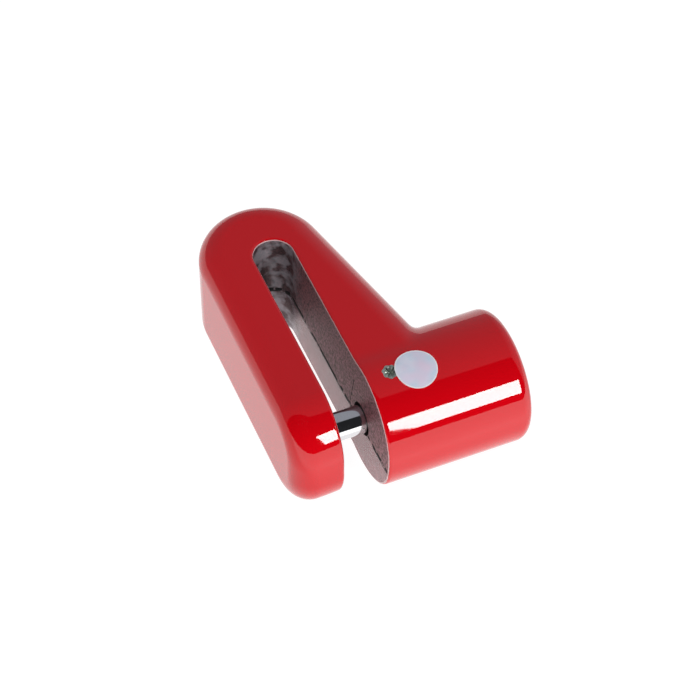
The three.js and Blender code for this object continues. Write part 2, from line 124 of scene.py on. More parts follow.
class DiscLockFinish(bpy.types.PropertyGroup):
    paint: bpy.props.FloatVectorProperty(
        name="Paint", description="Gloss paint on the cast body", subtype="COLOR",
        size=4, min=0, max=1, default=linear("#CE0210"))
    label: bpy.props.FloatVectorProperty(
        name="Label", description="Pearly film of the round label", subtype="COLOR",
        size=4, min=0, max=1, default=linear("#D4E3F4"))
    slot_edge: bpy.props.FloatProperty(
        name="Slot edge", description="Rounding of the painted edges of the slot, in millimetres",
        min=0.2, max=2, default=0.75)
    voxel: bpy.props.FloatProperty(
        name="Skin detail", description="Face size of the cast body's skin, in millimetres",
        min=0.3, max=2, default=0.45)


class DiscLockStage(bpy.types.PropertyGroup):
    dome: bpy.props.FloatProperty(
        name="Dome", description="Brightness of the back and overhead panels", min=0, max=5, default=0.31)
    front: bpy.props.FloatProperty(
        name="Front", description="Brightness of the unlit front of the room", min=0, max=5, default=0.02)
    strip: bpy.props.FloatProperty(
        name="Strip", description="Power of the low strip softbox", min=0, max=50, default=5,
        unit="POWER")
    fill: bpy.props.FloatProperty(
        name="Fill", description="Power of the soft fill light", min=0, max=200, default=13.6,
        unit="POWER")
    floor: bpy.props.FloatProperty(
        name="Floor", description="Light that the lit paper floor gives off", min=0, max=5, default=0.95)
    # Glow of the painted pool of light on the floor in front, below the strip softbox.
    floor_painted_pool: bpy.props.FloatProperty(
        name="Floor in front", description="The same, on the side of the strip softbox",
        min=0, max=10, default=1.7)


# ---- Materials ----
def add_node(tree, kind, inputs=None, **settings):
    """Adds a node, sets it up, and sets or links its inputs."""
    node = tree.nodes.new(kind)
    for key, value in settings.items():
        setattr(node, key, value)
    for key, value in (inputs or {}).items():
        if isinstance(value, bpy.types.NodeSocket):
            tree.links.new(value, node.inputs[key])
        else:
            node.inputs[key].default_value = value
    return node


def new_material(name):
    """An empty node material and its tree, with the coordinates in mm from the pin's axis."""
    material = bpy.data.materials.new(name)
    material.use_nodes = True
    tree = material.node_tree
    tree.nodes.clear()
    place = add_node(tree, "ShaderNodeTexCoord")
    mm = add_node(tree, "ShaderNodeMapping", {
        "Vector": place.outputs["Object"],
        "Location": -AXIS / MM,
        "Scale": (1 / MM, 1 / MM, 1 / MM),
    })
    return material, tree, mm.outputs["Vector"]


def finish_material(tree, shader):
    add_node(tree, "ShaderNodeOutputMaterial", {"Surface": shader.outputs["BSDF"]})


def maths(tree, operation, a, b=0.0, c=0.0):
    return add_node(tree, "ShaderNodeMath", {0: a, 1: b, 2: c}, operation=operation).outputs[0]


def noise(tree, vector, scale, detail=3.0, roughness=0.5):
    return add_node(tree, "ShaderNodeTexNoise", {
        "Vector": vector, "Scale": scale, "Detail": detail, "Roughness": roughness}).outputs["Fac"]


def ramp(tree, fac, low, high, out_low=0.0, out_high=1.0):
    return add_node(tree, "ShaderNodeMapRange", {
        "Value": fac, "From Min": low, "From Max": high, "To Min": out_low, "To Max": out_high,
    }).outputs["Result"]


def mixed(tree, fac, a, b):
    return add_node(tree, "ShaderNodeMix", {0: fac, 6: a, 7: b}, data_type="RGBA").outputs[2]


def bumped(tree, height, strength, distance):
    return add_node(tree, "ShaderNodeBump", {
        "Height": height, "Strength": strength, "Distance": distance}).outputs["Normal"]


def body_finish(settings):
    """Red gloss stoving paint over cast zinc, with the slot's walls left bare."""
    material, tree, mm = new_material("red_gloss_paint_over_cast_zinc")
    axes = add_node(tree, "ShaderNodeSeparateXYZ", {0: mm})
    x, y, z = axes.outputs
    past_end = maths(tree, "MAXIMUM", maths(tree, "SUBTRACT", y, SLOT_END), 0.0)
    from_middle = maths(tree, "SQRT", maths(tree, "ADD", maths(tree, "MULTIPLY", x, x),
                                            maths(tree, "MULTIPLY", past_end, past_end)))
    below = maths(tree, "ABSOLUTE", maths(tree, "SUBTRACT", z, PARTING_Z))
    half = maths(tree, "MULTIPLY_ADD", below, DRAFT, PARTING_HALF)
    depth = maths(tree, "SUBTRACT", from_middle, half)
    # Paint stops where the slot's edge has turned into the wall, a little unevenly.
    waver = maths(tree, "MULTIPLY", noise(tree, mm, 0.9), 0.12)
    bare = maths(tree, "LESS_THAN", maths(tree, "SUBTRACT", depth, waver), 0.08)
    # Cast grain, really about 0.2 mm across and drawn 0.6 mm to show; flow patches some 5 mm long.
    grain = noise(tree, mm, 1.6, 5.0, 0.75)
    flow = noise(tree, mm, 0.22, 3.0, 0.6)
    # The wall's zinc colours are tinted pink, a painted reflection of the red paint round the slot. The
    # lower, smoother half is painted lighter, a painted reflection of the floor. The upper, grainy half is
    # painted darker, a painted reflection of the dimmer room above.
    upper = ramp(tree, z, -3.2, -1.2)
    smooth_zinc_painted_pink = mixed(tree, ramp(tree, flow, 0.35, 0.7), linear("#A0646A"), linear("#7E484E"))
    grainy_zinc_painted_dark = mixed(tree, ramp(tree, grain, 0.4, 0.6), linear("#472C2F"), linear("#BC8086"))
    zinc = mixed(tree, upper, smooth_zinc_painted_pink, grainy_zinc_painted_dark)
    # The closed end of the slot is cooler in tone and mottled with painted bright and dark patches, a
    # painted reflection in its milled face.
    closed = ramp(tree, y, SLOT_END - 7, SLOT_END + 1, 0.0, 0.75)
    patches = ramp(tree, noise(tree, mm, 0.3, 2.0), 0.42, 0.58)
    zinc = mixed(tree, closed, zinc, mixed(tree, patches, linear("#2C2729"), linear("#A3A5AC")))
    # The die's parting line runs along the wall as a broken dark line.
    near_line = maths(tree, "LESS_THAN", maths(tree, "ABSOLUTE", maths(
        tree, "SUBTRACT", z, maths(tree, "MULTIPLY_ADD", noise(tree, mm, 0.35), 0.7, PARTING_Z - 0.35))),
        PARTING_LINE_HALF)
    broken = maths(tree, "GREATER_THAN", noise(tree, mm, 0.55, 2.0), 0.44)
    line = maths(tree, "MULTIPLY", near_line, broken)
    # A thin dark line runs down the wall beside the pin.
    across = maths(tree, "ABSOLUTE", maths(tree, "SUBTRACT", y, maths(tree, "MULTIPLY_ADD", z, -0.18, 6.6)))
    dark_line_by_pin = maths(tree, "MULTIPLY", maths(tree, "LESS_THAN", across, 0.13), maths(
        tree, "MULTIPLY", maths(tree, "GREATER_THAN", z, -2.4), maths(tree, "LESS_THAN", z, 9.0)))
    line = maths(tree, "MAXIMUM", line, dark_line_by_pin)
    zinc = mixed(tree, line, zinc, linear("#080404"))
    # Where the paint has drawn back, a thin pale line is painted on the lip: a painted highlight of the
    # bare edge catching the light.
    lip_painted_highlight = maths(tree, "GREATER_THAN", depth, 0.025)
    zinc = mixed(tree, lip_painted_highlight, zinc, linear("#E4BFC0"))
    colour = mixed(tree, bare, tuple(settings.paint), zinc)
    # Orange peel of sprayed paint, waves about 1.5 mm long.
    peel = maths(tree, "MULTIPLY", noise(tree, mm, 0.65, 1.0), maths(tree, "SUBTRACT", 1.0, bare))
    cast = maths(tree, "MULTIPLY", grain, bare)
    height = maths(tree, "ADD", maths(tree, "MULTIPLY", peel, 0.0015), maths(tree, "MULTIPLY", cast, 0.12))
    shader = add_node(tree, "ShaderNodeBsdfPrincipled", {
        "Base Color": colour,
        "Metallic": maths(tree, "MULTIPLY", bare, maths(tree, "MULTIPLY_ADD", maths(
            tree, "MAXIMUM", line, lip_painted_highlight), -0.3, 0.3)),
        "Roughness": maths(tree, "MULTIPLY_ADD", bare, maths(tree, "MULTIPLY_ADD", line, 0.4, ramp(
            tree, z, -3.2, -1.2, 0.2, 0.44)), 0.035),
        "IOR": 1.5,
        "Normal": bumped(tree, height, 1.0, MM),
    })
    finish_material(tree, shader)
    return material


def metal(name, colours, roughness, grain_mm, stretch=(1, 1, 1), relief=0.01):
    """A bare metal whose colour, roughness and relief follow grain of that size in mm."""
    material, tree, mm = new_material(name)
    place = add_node(tree, "ShaderNodeMapping", {"Vector": mm, "Scale": stretch}).outputs[0]
    grain = noise(tree, place, 0.8 / grain_mm, 4.0, 0.6)
    shader = add_node(tree, "ShaderNodeBsdfPrincipled", {
        "Base Color": mixed(tree, ramp(tree, grain, 0.3, 0.7), linear(colours[0]), linear(colours[1])),
        "Metallic": 1.0,
        "Roughness": ramp(tree, grain, 0.3, 0.7, roughness[0], roughness[1]),
        "Normal": bumped(tree, maths(tree, "MULTIPLY", grain, relief), 1.0, MM),
    })
    finish_material(tree, shader)
    return material


def rubber_finish():
    """Nitrile rubber O-rings: matt black with a fine moulded grain."""
    material, tree, mm = new_material("moulded_nitrile_rubber")
    grain = noise(tree, mm, 3.5)
    shader = add_node(tree, "ShaderNodeBsdfPrincipled", {
        "Base Color": mixed(tree, grain, linear("#141414"), linear("#242424")),
        "Roughness": ramp(tree, grain, 0.3, 0.7, 0.5, 0.7),
        "Normal": bumped(tree, maths(tree, "MULTIPLY", grain, 0.02), 1.0, MM),
    })
    finish_material(tree, shader)
    return material


def label_finish(settings):
    """Pearly printed film: a soft cloudy blue-white under a clear gloss face."""
    material, tree, mm = new_material("pearl_label_film")
    cloud = noise(tree, mm, 0.35, 2.0)
    tint = noise(tree, mm, 0.2, 1.0)
    lean = math.radians(LABEL_LEAN)
    middle = (LABEL_X, -BARREL_R * math.sin(lean), BARREL_R * math.cos(lean))
    away = add_node(tree, "ShaderNodeVectorMath", {0: mm, 1: middle}, operation="DISTANCE")
    edge = maths(tree, "GREATER_THAN", away.outputs["Value"], LABEL_R - 0.28)
    pearl = mixed(tree, ramp(tree, cloud, 0.35, 0.65), tuple(settings.label), linear("#E6E9F8"))
    pearl = mixed(tree, ramp(tree, tint, 0.45, 0.7), pearl, linear("#EADCF0"))
    shader = add_node(tree, "ShaderNodeBsdfPrincipled", {
        "Base Color": mixed(tree, edge, pearl, linear("#F6F7FB")),
        "Metallic": 0.1,
        "Roughness": ramp(tree, cloud, 0.3, 0.7, 0.28, 0.36),
        "Normal": bumped(tree, maths(tree, "MULTIPLY", noise(tree, mm, 1.5), 0.01), 1.0, MM),
    })
    finish_material(tree, shader)
    return material


# ---- The cast body's surface, in mm ----
def round_meet(a, b, r):
    """The distance to where two solids overlap, with the outer edge between them rounded to r."""
    outside = np.hypot(np.maximum(a + r, 0), np.maximum(b + r, 0)) - r
    return outside + np.minimum(np.maximum(a, b) + r, 0)


def slab_distance(p):
    x, y, z = p.T
    ux, uy = x - CROWN[0], y - CROWN[1]
    angle = np.arctan2(uy, ux)
    on_arc = (angle >= TAPER) & (angle <= math.pi)
    sides = np.maximum(-ux - CROWN_R, ux * math.cos(TAPER) + uy * math.sin(TAPER) - CROWN_R)
    outline = np.where(on_arc, np.hypot(ux, uy) - CROWN_R, sides)
    # The free arm's front is very slightly crowned across its width.
    crown = np.minimum(np.abs(x - TIP_MIDDLE), 7) ** 2 / (2 * TIP_CROWN_R)
    qy, qz = crown - y, np.abs(z) - (SLAB_HALF - TIP_R)
    tip = np.hypot(np.maximum(qy, 0), np.maximum(qz, 0)) + np.minimum(np.maximum(qy, qz), 0) - TIP_R
    turned = np.clip((angle - TAPER) / (math.pi - TAPER), 0, 1)
    share = np.where(on_arc, turned, (x < CROWN[0]).astype(float))
    # Below the crown's centre the edge is constant on each side.
    return round_meet(outline, tip, SHOULDER_EDGE + (ARM_EDGE - SHOULDER_EDGE) * share)


def barrel_distance(p):
    x, y, z = p.T
    return np.maximum(round_meet(np.hypot(y, z) - BARREL_R, x - BARREL_END, BARREL_EDGE), -x)


def slot_distance(p):
    x, y, z = p.T
    half = PARTING_HALF + np.abs(z - PARTING_Z) * DRAFT
    return np.hypot(x, np.maximum(y - SLOT_END, 0)) - half


def slope(distance, p, step=0.01):
    """The unit direction in which a distance grows."""
    out = np.empty_like(p)
    for k in range(3):
        shift = np.zeros(3)
        shift[k] = step
        out[:, k] = distance(p + shift) - distance(p - shift)
    return out / np.maximum(np.linalg.norm(out, axis=1, keepdims=True), 1e-12)


def fillet_reach(p):
    turn = np.cross(slope(slab_distance, p), slope(barrel_distance, p))
    return 2 * FILLET * np.linalg.norm(turn, axis=1)


def solid_distance(p):
    """Arms, crown and barrel as one casting, with a small fillet where they meet at an angle."""
    slab, barrel, reach = slab_distance(p), barrel_distance(p), fillet_reach(p)
    overlap = np.maximum(reach - np.abs(slab - barrel), 0) / np.maximum(reach, 1e-9)
    return np.minimum(slab, barrel) - overlap * overlap * reach / 4


def cast_distance(p, edge):
    return round_meet(solid_distance(p), -slot_distance(p), edge)


# ---- Shapes ----
def spun(profile, segments=96):
    """A closed solid from (x, r) points turned about the pin's axis."""
    bm = bmesh.new()
    ring = [bm.verts.new((x, 0, r)) for x, r in profile]
    edges = [bm.edges.new(pair) for pair in zip(ring, ring[1:] + ring[:1])]
    bmesh.ops.spin(bm, geom=ring + edges, cent=(0, 0, 0), axis=(1, 0, 0), angle=2 * math.pi,
                   steps=segments, use_merge=True)
    bmesh.ops.remove_doubles(bm, verts=bm.verts, dist=1e-5)
    loose = [e for e in bm.edges if not e.link_faces]
    bmesh.ops.delete(bm, geom=loose, context="EDGES")
    bmesh.ops.recalc_face_normals(bm, faces=bm.faces)
    return bm


def rod_along(direction, start, end, radius, centre=(0, 0, 0), segments=48):
    """A plain rod between two distances along a direction."""
    bm = bmesh.new()
    direction = Vector(direction).normalized()
    turn = direction.to_track_quat("Z", "Y").to_matrix().to_4x4()
    place = Matrix.Translation(Vector(centre) + direction * (start + end) / 2) @ turn
    bmesh.ops.create_cone(bm, cap_ends=True, segments=segments, radius1=radius, radius2=radius,
                          depth=end - start, matrix=place)
    return bm


def block(low, high):
    bm = bmesh.new()
    low, high = Vector(low), Vector(high)
    size = Matrix.Diagonal((*(high - low), 1))
    bmesh.ops.create_cube(bm, size=1, matrix=Matrix.Translation((low + high) / 2) @ size)
    return bm


def coil(length, radius, wire, turns, steps=28):
    """A compression spring along +X, its flat ends at 0 and length."""
    bm = bmesh.new()
    start = Matrix.Translation((wire / 2, 0, radius)) @ Matrix.Rotation(math.pi / 2, 4, "X")
    bmesh.ops.create_circle(bm, cap_ends=True, segments=12, radius=wire / 2, matrix=start)
    bmesh.ops.spin(bm, geom=bm.verts[:] + bm.edges[:] + bm.faces[:], cent=(0, 0, 0), axis=(1, 0, 0),
                   dvec=((length - wire) / (turns * steps), 0, 0), angle=2 * math.pi * turns,
                   steps=turns * steps)
    bmesh.ops.remove_doubles(bm, verts=bm.verts, dist=1e-5)
    bmesh.ops.recalc_face_normals(bm, faces=bm.faces)
    return bm


def soften(bm, angle=35):
    """Smooth shading, with edges sharper than angle kept crisp."""
    limit = math.radians(angle)
    for face in bm.faces:
        face.smooth = True
    for edge in bm.edges:
        edge.smooth = len(edge.link_faces) == 2 and edge.calc_face_angle(0) < limit


def make_object(name, bm, place=None):
    if place is not None:
        bmesh.ops.transform(bm, matrix=place, verts=bm.verts)
    mesh = bpy.data.meshes.new(name)
    bm.to_mesh(mesh)
    bm.free()
    piece = bpy.data.objects.new(name, mesh)
    bpy.context.scene.collection.objects.link(piece)
    return piece


def bake_modifiers(piece):
    bpy.context.view_layer.update()
    evaluated = piece.evaluated_get(bpy.context.evaluated_depsgraph_get())
    mesh = bpy.data.meshes.new_from_object(evaluated)
    old = piece.data
    piece.modifiers.clear()
    piece.data = mesh
    mesh.name = piece.name
    bpy.data.meshes.remove(old)


def carve(piece, cutters, operation="DIFFERENCE"):
    """Cuts each cutter mesh from the piece, or joins it on."""
    tools = []
    for i, bm in enumerate(cutters):
        tool = make_object(f"{piece.name}_tool_{i}", bm)
        cut = piece.modifiers.new("cut", "BOOLEAN")
        cut.operation, cut.solver, cut.object = operation, "EXACT", tool
        tools.append(tool)
    bake_modifiers(piece)
    for tool in tools:
        mesh = tool.data
        bpy.data.objects.remove(tool)
        bpy.data.meshes.remove(mesh)


def settle(name, bm, material, body, nodes, angle=35):
    """Turns a mesh in mm into a finished piece that rides on a body."""
    soften(bm, angle)
    piece = make_object(name, bm, TO_ROW)
    return mount(piece, material, body, nodes)


def mount(piece, material, body, nodes):
    piece.data.materials.clear()
    piece.data.materials.append(material)
    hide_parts(*nodes)
    if body:
        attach(piece, body)
    return piece


# ---- The cast body ----
def body_blank():
    """The casting roughly to size: an extruded outline, a barrel and a slot."""
    bm = bmesh.new()
    start = bm.verts.new((CROWN[0] + CROWN_R * math.cos(TAPER), CROWN[1] + CROWN_R * math.sin(TAPER),
                          -SLAB_HALF))
    bmesh.ops.spin(bm, geom=[start], cent=(*CROWN, -SLAB_HALF), axis=(0, 0, 1),
                   angle=math.pi - TAPER, steps=24)
    bm.verts.ensure_lookup_table()
    foot = Vector((math.sin(TAPER), -math.cos(TAPER), 0))
    right = start.co + foot * (CROWN[1] / math.cos(TAPER))
    front = (bm.verts.new((ARM_OUTER, -TIP_R, -SLAB_HALF)), bm.verts.new((4, -TIP_R, -SLAB_HALF)),
             bm.verts.new((6, 0, -SLAB_HALF)), bm.verts.new((right.x, right.y, -SLAB_HALF)))
    bm.verts.ensure_lookup_table()
    last = bm.verts[24]
    for a, b in zip((last, *front), (*front, start)):
        bm.edges.new((a, b))
    face = bmesh.ops.contextual_create(bm, geom=bm.edges[:])["faces"]
    raised = bmesh.ops.extrude_face_region(bm, geom=face)["geom"]
    bmesh.ops.translate(bm, vec=(0, 0, 2 * SLAB_HALF),
                        verts=[g for g in raised if isinstance(g, bmesh.types.BMVert)])
    bmesh.ops.recalc_face_normals(bm, faces=bm.faces)
    rims = [e for e in bm.edges if abs(e.verts[0].co.z - e.verts[1].co.z) < 1e-4
            and min(v.co.y for v in e.verts) > -TIP_R + 1 and e.is_manifold]
    bmesh.ops.bevel(bm, geom=rims, offset=5, segments=3, profile=0.5, material=-1,
                    affect="EDGES", clamp_overlap=True)
    fronts = [e for e in bm.edges if max(v.co.y for v in e.verts) < -TIP_R + 1e-3
              and abs(e.verts[0].co.z - e.verts[1].co.z) < 1e-4]
    bmesh.ops.bevel(bm, geom=fronts, offset=11, segments=5, profile=0.5, material=-1,
                    affect="EDGES", clamp_overlap=True)
    piece = make_object("cast_body", bm)
    barrel = spun([(0, 0), (0, BARREL_R), (BARREL_END - 2.5, BARREL_R), (BARREL_END, BARREL_R - 2.5),
                   (BARREL_END, 0)], 64)
    carve(piece, [barrel], "UNION")
    half = PARTING_HALF + 0.15
    carve(piece, [block((-half, -30, -25), (half, SLOT_END, 25)),
                  rod_along((0, 0, 1), -26, 26, half, (0, SLOT_END, 0), 40)])
    return piece


def body_cutters():
    """The holes that were machined after the body was painted."""
    bore = spun([(3, 0), (3, 4.3), (8, 4.3), (8, 8.05), (14, 8.05), (14, BORE_R), (40.2, BORE_R),
                 (40.2, 13.15), (41.6, 13.15), (41.6, BORE_R), (41.8, BORE_R), (43.4, 13.6),
                 (43.4, 0)], 96)
    socket = spun([(-12.525, 0), (-10.6, 3.85), (0, 3.85), (0, 0)], 64)
    latch_groove = block((23.1, 11, -2.9), (39.8, 13.8, 2.9))
    bush_hole = rod_along((0, -math.sin(STAKE_LEAN), math.cos(STAKE_LEAN)), 5.95, 18.5, 1.75,
                          (STAKE_X, 0, 0))
    stop_hole = rod_along((0, 0, -1), 11, 17.5, 1.25, (36.2, 0, 0))
    return [bore, socket, latch_groove, bush_hole, stop_hole]


def values(items, name, width=1, kind=float):
    """One attribute of every item, a row each when it has several numbers."""
    out = np.empty(len(items) * width, kind)
    items.foreach_get(name, out)
    return out.reshape(-1, width) if width > 1 else out


def make_body(settings):
    """One casting whose skin is settled onto the exact filleted surface, then bored."""
    def skin_distance(p):
        return cast_distance(p, settings.slot_edge)

    piece = body_blank()
    remesh = piece.modifiers.new("skin", "REMESH")
    remesh.mode = "VOXEL"
    remesh.voxel_size = settings.voxel
    bake_modifiers(piece)
    points = values(piece.data.vertices, "co", 3)
    for _ in range(SETTLE_ROUNDS):
        offset = skin_distance(points)
        direction = slope(skin_distance, points)
        points -= direction * np.clip(offset, -1.5, 1.5)[:, None]
    piece.data.vertices.foreach_set("co", points.ravel())
    piece.data.update()
    carve(piece, body_cutters())
    mesh = piece.data
    centres = values(mesh.polygons, "center", 3)
    facing = values(mesh.polygons, "normal", 3)
    # A machined face lies inside the casting's skin, or turns away from it, as a chamfer does.
    machined = np.abs(skin_distance(centres)) > MACHINED_DEPTH
    machined |= (slope(skin_distance, centres) * facing).sum(1) < MACHINED_TURN
    corner = values(mesh.loops, "vertex_index", kind=np.int64)
    sizes = values(mesh.polygons, "loop_total", kind=np.int64)
    outward = slope(skin_distance, values(mesh.vertices, "co", 3))[corner]
    bm = bmesh.new()
    bm.from_mesh(mesh)
    soften(bm)
    bm.to_mesh(mesh)
    bm.free()
    normals = values(mesh.corner_normals, "vector", 3)
    # A thin face left by the cutting keeps its own normal where the skin's would turn against it.
    agrees = (outward * np.repeat(facing, sizes, 0)).sum(1) > OWN_NORMAL_TURN
    skin = np.repeat(~machined, sizes) & agrees
    normals[skin] = outward[skin]
    mesh.transform(TO_ROW)
    mesh.materials.clear()
    mesh.materials.append(body_finish(settings))
    mesh.materials.append(metal("machined_zinc", ("#8F8B88", "#B3AFAC"), (0.25, 0.4), 0.35,
                                (4, 0.6, 0.6)))
    mesh.polygons.foreach_set("material_index", machined.astype(np.int32))
    mesh.normals_split_custom_set(normals.tolist())
    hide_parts("lock_body")
    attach(piece, "housing")
    return piece


# ---- Operators ----
class DISCLOCK_OT_body(bpy.types.Operator):
    """Make the painted cast body"""
    bl_idname = "disclock.body"
    bl_label = "Cast body"

    def execute(self, context):
        make_body(context.scene.disc_lock_finish)
        return {"FINISHED"}


class DISCLOCK_OT_pin(bpy.types.Operator):
    """Make the chromed locking pin"""
    bl_idname = "disclock.pin"
    bl_label = "Locking pin"

    def execute(self, context):
        # Hard chrome over ground steel: nearly a mirror, with faint rings from grinding.
        chrome = metal("hard_chromed_ground_steel", ("#D9DADC", "#E6E7E9"), (0.04, 0.09), 0.25,
                       (3, 0.3, 0.3), 0.001)
        bm = spun([(-9.6, 0), (-9.6, 2.55), (-9.5, 2.75), (-8.95, 3.3), (-8.75, 3.42), (-8.5, PIN_R),
                   (18.1, PIN_R), (18.1, 3.1), (19, 3.1), (19, PIN_R), (22.05, PIN_R),
                   (22.05, 5.1), (22.15, 5.2), (23.1, 5.2), (23.2, 5.1), (23.2, 0)], 96)
        settle("locking_pin_ground", bm, chrome, "core", ["locking_pin"])
        return {"FINISHED"}


class DISCLOCK_OT_springs(bpy.types.Operator):
    """Make the coil springs"""
    bl_idname = "disclock.springs"
    bl_label = "Springs"

    def execute(self, context):
        # Oil-tempered spring wire: dark grey and satin.
        wire = metal("oil_tempered_spring_wire", ("#4C4F54", "#6E7278"), (0.28, 0.42), 0.3)
        quarter = math.pi / 2
        jobs = [("return_spring", coil(4.9, 6.4, 0.9, 4, 36), Matrix.Translation((14.05, 0, 0)),
                 (14.3, 0, 0), (18.7, 0, 0))]
        jobs.append(("latch_spring", coil(6.75, 0.75, 0.3, 5),
                     Matrix.Translation((24.2, -10.2, 0)) @ Matrix.Rotation(quarter, 4, "Z"),
                     (24.2, -10, 0), (24.2, -3.6, 0)))
        for i in range(5):
            up = 1 if i % 2 == 0 else -1
            low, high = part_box(f"wafer_spring_{i + 1}")
            x = ((low.x + high.x) / 2 - AXIS.x) / MM
            bottom, top = (low.z - AXIS.z) / MM, (high.z - AXIS.z) / MM
            fixed, free = (bottom, top) if up > 0 else (top, bottom)
            jobs.append((f"wafer_spring_{i + 1}", coil(top - bottom, 0.36, 0.2, 3, 20),
                         Matrix.Translation((x, 0, bottom)) @ Matrix.Rotation(-quarter, 4, "Y"),
                         (x, 0, fixed + 0.1 * up), (x, 0, free - 0.1 * up)))
        for node, bm, place, start, end in jobs:
            bmesh.ops.transform(bm, matrix=place, verts=bm.verts)
            soften(bm, 60)
            piece = make_object(f"{node}_wire", bm, TO_ROW)
            mount(piece, wire, None, [node])
            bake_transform(piece)
        return {"FINISHED"}


class DISCLOCK_OT_label(bpy.types.Operator):
    """Make the round label on the barrel"""
    bl_idname = "disclock.label"
    bl_label = "Round label"

    def execute(self, context):
        bm = bmesh.new()
        bmesh.ops.create_circle(bm, cap_ends=True, segments=96, radius=LABEL_R)
        for width in (0.12, 0.5, 0.9, 1.1, 1.1):
            face = max(bm.faces, key=lambda f: len(f.verts))
            bmesh.ops.inset_region(bm, faces=[face], thickness=width, use_even_offset=True)
        bmesh.ops.poke(bm, faces=[max(bm.faces, key=lambda f: len(f.verts))])
        bmesh.ops.solidify(bm, geom=bm.faces[:], thickness=-0.18)
        bmesh.ops.recalc_face_normals(bm, faces=bm.faces)
        lean = math.radians(LABEL_LEAN)
        for vert in bm.verts:
            angle = lean - vert.co.y / BARREL_R
            radius = BARREL_R + 0.06 + vert.co.z
            vert.co = (LABEL_X + vert.co.x, -radius * math.sin(angle), radius * math.cos(angle))
        film = label_finish(context.scene.disc_lock_finish)
        settle("round_label_film", bm, film, "housing", ["round_label"], 50)
        return {"FINISHED"}


class DISCLOCK_OT_staked_pin(bpy.types.Operator):
    """Make the pin that holds the guide bush, with its staked head"""
    bl_idname = "disclock.staked_pin"
    bl_label = "Staked pin"

    def execute(self, context):
        # Struck zinc-plated steel: grey-green and rough, with a random grain; the punch's grooves are in
        # the head's shape.
        steel = metal("staked_plated_steel", ("#9AA698", "#D2DACE"), (0.28, 0.45), 0.25, relief=0.03)
        bm = bmesh.new()
        foot, head, radius, petals = 6.05, 16.5, 1.7, 7
        bmesh.ops.create_cone(bm, cap_ends=True, segments=84, radius1=radius, radius2=radius,
                              depth=head - foot, matrix=Matrix.Translation((0, 0, (head + foot) / 2)))
        top = max(bm.faces, key=lambda f: f.calc_center_median().z)
        for width in (0.1, 0.2, 0.25, 0.3, 0.3, 0.25):
            bmesh.ops.inset_region(bm, faces=[top], thickness=width, use_even_offset=True)
        bmesh.ops.poke(bm, faces=[top])
        for vert in bm.verts:
            if vert.co.z < head - 0.01:
                continue
            out = min(math.hypot(vert.co.x, vert.co.y) / radius, 1)
            wave = math.cos(petals * math.atan2(vert.co.y, vert.co.x))
            spread = 1.1 + 0.07 * wave
            vert.co.x, vert.co.y = vert.co.x * spread, vert.co.y * spread
            vert.co.z -= 0.5 * (0.5 - 0.5 * wave) * math.sin(math.pi * min(out * 1.1, 1))
            vert.co.z -= 0.4 * (1 - out) ** 3
        lean = Matrix.Rotation(STAKE_LEAN, 4, "X")
        bmesh.ops.transform(bm, matrix=Matrix.Translation((STAKE_X, 0, 0)) @ lean, verts=bm.verts)
        settle("bush_pin_staked", bm, steel, "housing", ["bush_pin"], 50)
        return {"FINISHED"}


class DISCLOCK_OT_key_end(bpy.types.Operator):
    """Make the key end: its pressed cap, the turning dial and the mouth seal"""
    bl_idname = "disclock.key_end"
    bl_label = "Key end"

    def execute(self, context):
        # Stainless sheet, brushed along Y: bright and streaked.
        cap = metal("brushed_stainless_sheet", ("#A9ABAD", "#C9CBCD"), (0.2, 0.34), 0.3, (1, 0.12, 2))
        # Turned stainless: a fine even grain, drawn some 0.3 mm across.
        dial = metal("turned_stainless", ("#9B9DA0", "#BFC1C4"), (0.16, 0.28), 0.3)
        low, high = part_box("face_cap")
        outer = (high.z - low.z) / 2 / MM
        start, face = (low.x - AXIS.x) / MM, (high.x - AXIS.x) / MM
        inner = outer - 0.4
        settle("face_cap_pressed", spun([
            (start, inner), (start, outer), (face - 0.5, outer), (face - 0.34, outer - 0.04),
            (face - 0.15, outer - 0.15), (face - 0.04, outer - 0.34), (face, outer - 0.5),
            (face, 5.8), (face - 0.04, 5.7), (face - 0.14, 5.65), (face - 0.8, 5.65),
            (face - 0.8, inner)], 128), cap, "core", ["face_cap"], 30)
        low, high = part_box("keyhole_dial")
        back, front = (low.x - AXIS.x) / MM, (high.x - AXIS.x) / MM
        bm = spun([(back, 0), (back, 5.4), (back + 0.1, 5.5), (front - 0.25, 5.5),
                   (front - 0.07, 5.42), (front, 5.25), (front, 0)], 128)
        piece = make_object("keyhole_dial_turned", bm)
        carve(piece, [block((back - 1, -1.2, -4.1), (front + 1, 1.2, 4.1))])
        bm = bmesh.new()
        bm.from_mesh(piece.data)
        rim = [e for e in bm.edges if all(abs(v.co.x - front) < 1e-4 and abs(v.co.y) < 1.21
                                          and abs(v.co.z) < 4.11 for v in e.verts)
               and len(e.link_faces) == 2 and e.calc_face_angle(0) > 1]
        bmesh.ops.bevel(bm, geom=rim, offset=0.15, segments=2, profile=0.5, material=-1,
                        affect="EDGES", clamp_overlap=True)
        bpy.data.objects.remove(piece)
        settle("keyhole_dial_turned", bm, dial, "plug", ["keyhole_dial"], 30)
        rubber = rubber_finish()
        for node in ("mouth_seal", "pin_seal"):
            low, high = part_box(node)
            middle = ((low.x + high.x) / 2 - AXIS.x) / MM
            wire = (high.x - low.x) / 2 / MM
            around = ((high.z - low.z) / 2 / MM) - wire
            bm = bmesh.new()
            ring = Matrix.Translation((middle, 0, around)) @ Matrix.Rotation(math.pi / 2, 4, "X")
            bmesh.ops.create_circle(bm, cap_ends=False, segments=24, radius=wire, matrix=ring)
            bmesh.ops.spin(bm, geom=bm.verts[:] + bm.edges[:], cent=(0, 0, 0), axis=(1, 0, 0),
                           angle=2 * math.pi, steps=128, use_merge=True)
            bmesh.ops.recalc_face_normals(bm, faces=bm.faces)
            settle(f"{node}_ring", bm, rubber, "housing", [node], 60)
        return {"FINISHED"}


